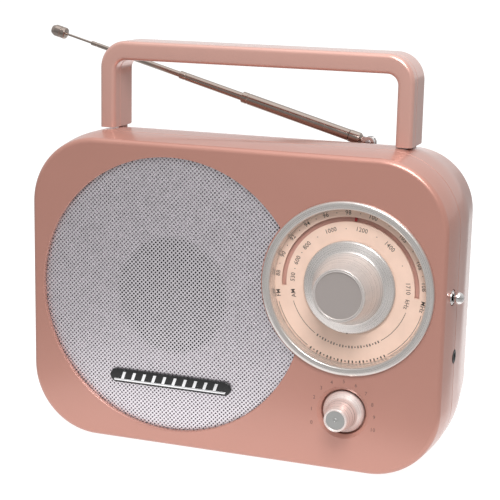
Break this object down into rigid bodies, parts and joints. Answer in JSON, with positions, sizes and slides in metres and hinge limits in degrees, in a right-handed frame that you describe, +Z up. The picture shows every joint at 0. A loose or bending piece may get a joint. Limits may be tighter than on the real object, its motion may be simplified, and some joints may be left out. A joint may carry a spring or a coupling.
{
  "type": "portable radio",
  "caption": "Portable AM/FM radio: rounded case, round speaker grille, dial with tuning knob, volume knob, carry handle and telescopic antenna.",
  "frame": {"origin": "middle of the flat underside, midway across the width and the depth of the case", "axes": "+Z up, the front with the grille and dial faces -Y, +X to the right seen from the front"},
  "size_m": [0.2689, 0.0986, 0.2236],
  "materials": {
    "rose_case": "satin metallic rose gold",
    "rose_handle": "gloss metallic rose gold",
    "grille_metal": "satin perforated sheet",
    "plated_silver": "satin silver plating",
    "chrome": "polished",
    "dial_cream": "matte print",
    "dial_brown": "matte",
    "pointer_red": "matte",
    "black_plastic": "matte",
    "baffle_plastic": "matte",
    "cone_paper": "matte paper",
    "steel": "satin",
    "board": "matte laminate",
    "copper": "satin enamelled wire",
    "ferrite": "matte",
    "white_plastic": "matte"
  },
  "bodies": {
    "case": {"front_shell": "rose_case", "rear_shell": "rose_case", "case_screw_1": "steel", "case_screw_2": "steel", "case_screw_3": "steel", "case_screw_4": "steel", "case_screw_5": "steel", "speaker_grille": "grille_metal", "grille_trim": "chrome", "speaker_baffle": "baffle_plastic", "speaker_basket": "steel", "speaker_cone": "cone_paper", "speaker_magnet": "ferrite", "dial_bezel": "plated_silver", "dial_plate": "dial_cream", "tuning_capacitor": "white_plastic", "volume_potentiometer": "steel", "band_switch_ring": "plated_silver", "band_switch": "steel", "jack_socket": "black_plastic", "circuit_board": "board", "board_screw_1": "steel", "board_screw_2": "steel", "board_screw_3": "steel", "board_screw_4": "steel", "filter_capacitor": "black_plastic", "audio_chip": "black_plastic", "tuning_coil_1": "steel", "tuning_coil_2": "steel", "tuning_coil_3": "steel", "ferrite_rod": "ferrite", "ferrite_coil": "copper", "ferrite_clip_1": "white_plastic", "ferrite_clip_2": "white_plastic", "transformer_core": "steel", "transformer_winding": "copper", "mains_inlet": "black_plastic", "battery_spring_lower": "steel", "battery_contact_lower": "steel", "battery_spring_upper": "steel", "battery_contact_upper": "steel", "handle_pin_left": "steel", "handle_pin_right": "steel"},
    "tuning_control": {"tuning_knob": "plated_silver", "tuning_shaft": "steel", "pointer_disc": "dial_brown", "dial_pointer": "pointer_red"},
    "volume_control": {"volume_knob": "plated_silver", "volume_shaft": "steel"},
    "band_control": {"band_lever": "chrome"},
    "carry_handle": {"handle_front": "rose_handle", "handle_rear": "rose_handle"},
    "battery_cover": {"battery_door": "rose_case"},
    "antenna_turret": {"antenna_base": "chrome"},
    "antenna_arm": {"antenna_knuckle": "chrome", "antenna_section_1": "chrome"},
    "antenna_tube_2": {"antenna_section_2": "chrome"},
    "antenna_tube_3": {"antenna_section_3": "chrome"},
    "antenna_tube_4": {"antenna_section_4": "chrome"},
    "antenna_tip": {"antenna_rod": "chrome"}
  },
  "joints": [
    {"name": "tuning_turn", "type": "hinge", "parent": "case", "child": "tuning_control", "pos_m": [0.06545, -0.041, 0.0997], "axis": [0, -1, 0], "range_deg": [-88, 95]},
    {"name": "volume_turn", "type": "hinge", "parent": "case", "child": "volume_control", "pos_m": [0.0655, -0.041, 0.0326], "axis": [0, -1, 0], "range_deg": [-150, 150]},
    {"name": "band_select", "type": "hinge", "parent": "case", "child": "band_control", "pos_m": [0.115, -0.0295, 0.0983], "axis": [0, 1, 0], "range_deg": [-7, 7]},
    {"name": "handle_fold", "type": "hinge", "parent": "case", "child": "carry_handle", "pos_m": [0, 0.008, 0.1752], "axis": [-1, 0, 0], "range_deg": [0, 22]},
    {"name": "battery_door_open", "type": "hinge", "parent": "case", "child": "battery_cover", "pos_m": [0, 0.041, 0.0143], "axis": [-1, 0, 0], "range_deg": [0, 95]},
    {"name": "antenna_swivel", "type": "hinge", "parent": "case", "child": "antenna_turret", "pos_m": [0.054, 0.0348, 0.1661], "axis": [0, 0, 1], "range_deg": [-155, 0]},
    {"name": "antenna_tilt", "type": "hinge", "parent": "antenna_turret", "child": "antenna_arm", "pos_m": [0.054, 0.0348, 0.1661], "axis": [0, 1, 0], "range_deg": [-14, 74.5]},
    {"name": "antenna_extend_2", "type": "slide", "parent": "antenna_arm", "child": "antenna_tube_2", "axis": [-0.9636, 0, 0.2672], "range_m": [-0.039, 0.021]},
    {"name": "antenna_extend_3", "type": "slide", "parent": "antenna_tube_2", "child": "antenna_tube_3", "axis": [-0.9636, 0, 0.2672], "range_m": [-0.033, 0.027]},
    {"name": "antenna_extend_4", "type": "slide", "parent": "antenna_tube_3", "child": "antenna_tube_4", "axis": [-0.9636, 0, 0.2672], "range_m": [-0.024, 0.033]},
    {"name": "antenna_extend_tip", "type": "slide", "parent": "antenna_tube_4", "child": "antenna_tip", "axis": [-0.9636, 0, 0.2672], "range_m": [-0.016, 0.038]}
  ]
}
